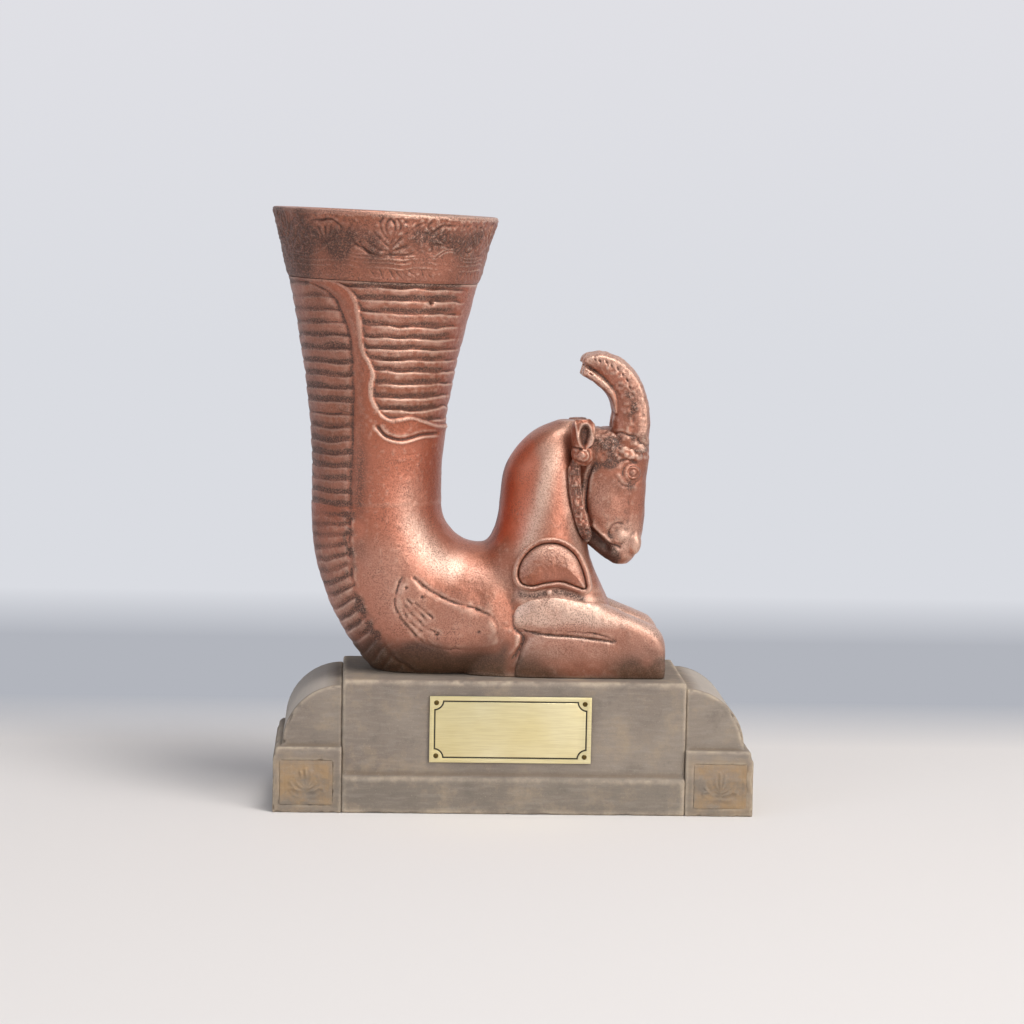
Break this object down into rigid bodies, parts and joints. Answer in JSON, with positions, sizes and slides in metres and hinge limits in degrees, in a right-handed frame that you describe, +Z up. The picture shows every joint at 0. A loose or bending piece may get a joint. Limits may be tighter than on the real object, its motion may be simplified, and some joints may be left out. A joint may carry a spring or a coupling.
{
  "type": "goat rhyton drinking cup",
  "caption": "Fluted horn-shaped drinking cup that bends into a kneeling goat, fixed on a cast plinth with a bare brass nameplate.",
  "frame": {"origin": "middle of the plinth's resting face, on the table", "axes": "+Z up, +X from the cup towards the goat, -Y the side with the nameplate"},
  "size_m": [0.1469, 0.0688, 0.18],
  "materials": {
    "copper_clay": "copper paint over fired clay, rubbed back on the high places, dark grime in the hollows",
    "copper_clay_engraved": "the same copper paint, darker where grime stays in the engraving",
    "cast_stone": "grey-taupe painted cast stone, matt, with rubbed edges",
    "stained_stone": "the same cast stone with brown stain",
    "brass_sheet": "pale satin brass sheet with a dark border line",
    "brass_insert": "plain turned brass",
    "steel": "plain bright steel",
    "beech": "plain turned beech",
    "felt": "dark green baize"
  },
  "bodies": {
    "root": {"beaker": "copper_clay", "rim_band": "copper_clay_engraved", "elbow": "copper_clay", "forepart": "copper_clay", "head": "copper_clay", "horn_left": "copper_clay", "horn_right": "copper_clay", "ear_left": "copper_clay", "ear_right": "copper_clay", "eye_left": "copper_clay", "eye_right": "copper_clay", "ruff_left": "copper_clay_engraved", "ruff_right": "copper_clay_engraved", "foreleg_left": "copper_clay", "foreleg_right": "copper_clay", "shoulder_plate_left": "copper_clay", "shoulder_plate_right": "copper_clay", "shoulder_pins": "copper_clay", "neck_dowel": "steel", "horn_pegs": "steel", "foot_inserts": "brass_insert", "foot_screws": "steel", "foot_washers": "steel", "plinth_block": "cast_stone", "plinth_wing_left": "cast_stone", "plinth_wing_right": "cast_stone", "plinth_dowels": "beech", "tile_front_left": "stained_stone", "tile_front_right": "stained_stone", "tile_back_left": "stained_stone", "tile_back_right": "stained_stone", "nameplate": "brass_sheet", "nameplate_pins": "brass_sheet", "felt_pad": "felt"}
  },
  "joints": []
}
